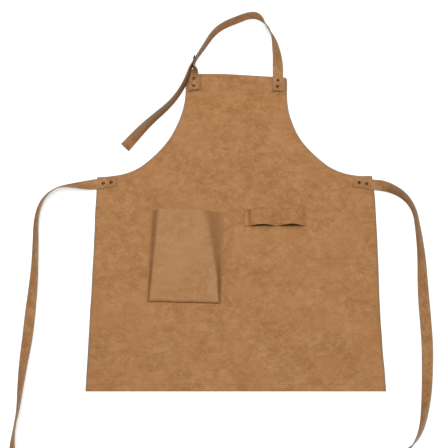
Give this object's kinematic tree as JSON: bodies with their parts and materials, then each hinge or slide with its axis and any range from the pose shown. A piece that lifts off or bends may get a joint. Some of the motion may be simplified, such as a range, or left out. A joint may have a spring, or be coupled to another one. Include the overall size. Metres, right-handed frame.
{
  "type": "bib apron",
  "caption": "Leather bib apron lying flat, with curved armholes, a bulged patch pocket, tool loops, a buckled neck strap and long riveted waist ties.",
  "frame": {"origin": "middle of the body panel's back face, which lies on the surface, halfway between the hem and the bib's top edge", "axes": "+X to the right of someone looking at the front, +Y from the hem towards the bib, +Z out of the front of the apron"},
  "size_m": [0.9168, 1.195, 0.0336],
  "materials": {
    "leather": "matte mottled tan, slightly waxy",
    "strap_leather": "matte mottled tan with raw grey-beige edges",
    "thread": "matte polyester thread",
    "antique_brass": "antique, domed, polished on top",
    "dark_nickel": "dark nickel, satin"
  },
  "bodies": {
    "root": {"body_panel": "leather", "bottom_hem_stitching": "thread", "bib_hem_stitching": "thread", "left_edge_stitching": "thread", "right_edge_stitching": "thread", "pocket_panel": "leather", "pocket_stitching": "thread", "tool_loop_strip": "leather", "tool_loop_stitching": "thread", "neck_strap_end": "strap_leather", "strap_tail": "strap_leather", "buckle_tab": "strap_leather", "left_tie_end": "strap_leather", "right_tie_end": "strap_leather", "neck_rivet_caps": "antique_brass", "neck_rivet_posts": "antique_brass", "tab_rivet_caps": "antique_brass", "tab_rivet_posts": "antique_brass", "left_tie_rivet_caps": "antique_brass", "left_tie_rivet_posts": "antique_brass", "right_tie_rivet_caps": "antique_brass", "right_tie_rivet_posts": "antique_brass"},
    "neck_loop": {"neck_strap": "strap_leather"},
    "buckle": {"buckle_frame": "dark_nickel"},
    "prong": {"buckle_prong": "dark_nickel"},
    "left_waist_tie": {"left_tie": "strap_leather"},
    "right_waist_tie": {"right_tie": "strap_leather"}
  },
  "joints": [
    {"name": "neck_fold", "type": "hinge", "parent": "root", "child": "neck_loop", "pos_m": [0.1042, 0.378, 0.0055], "axis": [0.9693, -0.214, -0.1214], "range_deg": [0, 60]},
    {"name": "buckle_swing", "type": "hinge", "parent": "root", "child": "buckle", "pos_m": [-0.097, 0.393, 0.0169], "axis": [0, 0, 1], "range_deg": [0, 12]},
    {"name": "prong_lift", "type": "hinge", "parent": "buckle", "child": "prong", "pos_m": [-0.097, 0.393, 0.0169], "axis": [0, 0, 1], "range_deg": [0, 12]},
    {"name": "left_tie_fold", "type": "hinge", "parent": "root", "child": "left_waist_tie", "pos_m": [-0.323, 0.097, 0.0041], "axis": [0, 1, 0], "range_deg": [0, 120]},
    {"name": "right_tie_fold", "type": "hinge", "parent": "root", "child": "right_waist_tie", "pos_m": [0.323, 0.0956, 0.0041], "axis": [-0.2504, -0.9681, 0], "range_deg": [0, 120]}
  ]
}
